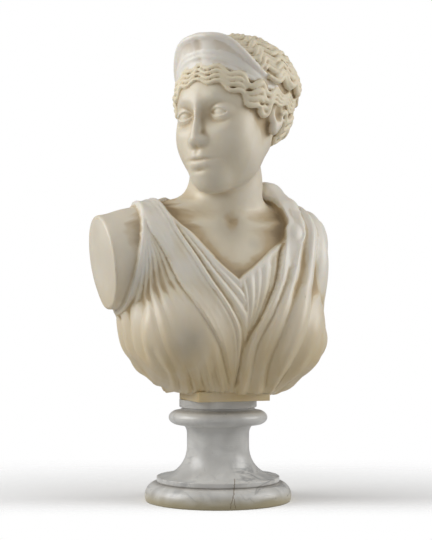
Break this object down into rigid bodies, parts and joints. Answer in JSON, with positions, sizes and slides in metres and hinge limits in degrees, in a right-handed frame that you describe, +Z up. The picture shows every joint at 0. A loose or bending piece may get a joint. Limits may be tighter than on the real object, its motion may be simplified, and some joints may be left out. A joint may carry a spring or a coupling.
{
  "type": "alabaster bust",
  "caption": "Draped female bust in carved alabaster with a diadem and waved hair, on a turned marble socle.",
  "frame": {"origin": "centre of the socle's round underside, on the surface that the bust stands on", "axes": "+Z up; the chest faces -Y, the bare cut right arm is at -X and the head turns towards -X"},
  "size_m": [0.2943, 0.1874, 0.5456],
  "materials": {
    "alabaster": "honed and softly polished cream alabaster, honey-brown in the hollows",
    "marble": "polished white marble with faint grey veins"
  },
  "bodies": {
    "root": {"bust": "alabaster", "socle": "marble"}
  },
  "joints": []
}
